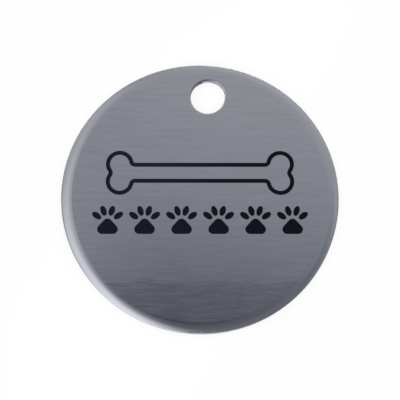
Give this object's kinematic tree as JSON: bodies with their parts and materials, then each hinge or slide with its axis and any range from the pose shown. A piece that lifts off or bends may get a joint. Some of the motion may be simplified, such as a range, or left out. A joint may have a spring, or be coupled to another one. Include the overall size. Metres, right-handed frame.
{
  "type": "pet identity tag",
  "caption": "Round brushed steel pet tag with a rolled front edge, a punched hole for a split ring, and an engraved bone and paw prints filled with black enamel.",
  "frame": {"origin": "centre of the back face, on the surface that the tag lies on", "axes": "+Z out of the engraved front, +Y from the centre of the disc to the ring hole, +X to the right when the front is read with the hole at the top"},
  "size_m": [0.0318, 0.0318, 0.0009],
  "materials": {
    "steel": "straight fine brushing across the front and back, rolled edge and hole tumbled smooth",
    "enamel": "satin black enamel, wiped level in the cuts"
  },
  "bodies": {
    "root": {"steel_disc": "steel", "bone_outline_enamel": "enamel", "paw_print_enamel_1": "enamel", "paw_print_enamel_2": "enamel", "paw_print_enamel_3": "enamel", "paw_print_enamel_4": "enamel", "paw_print_enamel_5": "enamel", "paw_print_enamel_6": "enamel"}
  },
  "joints": []
}
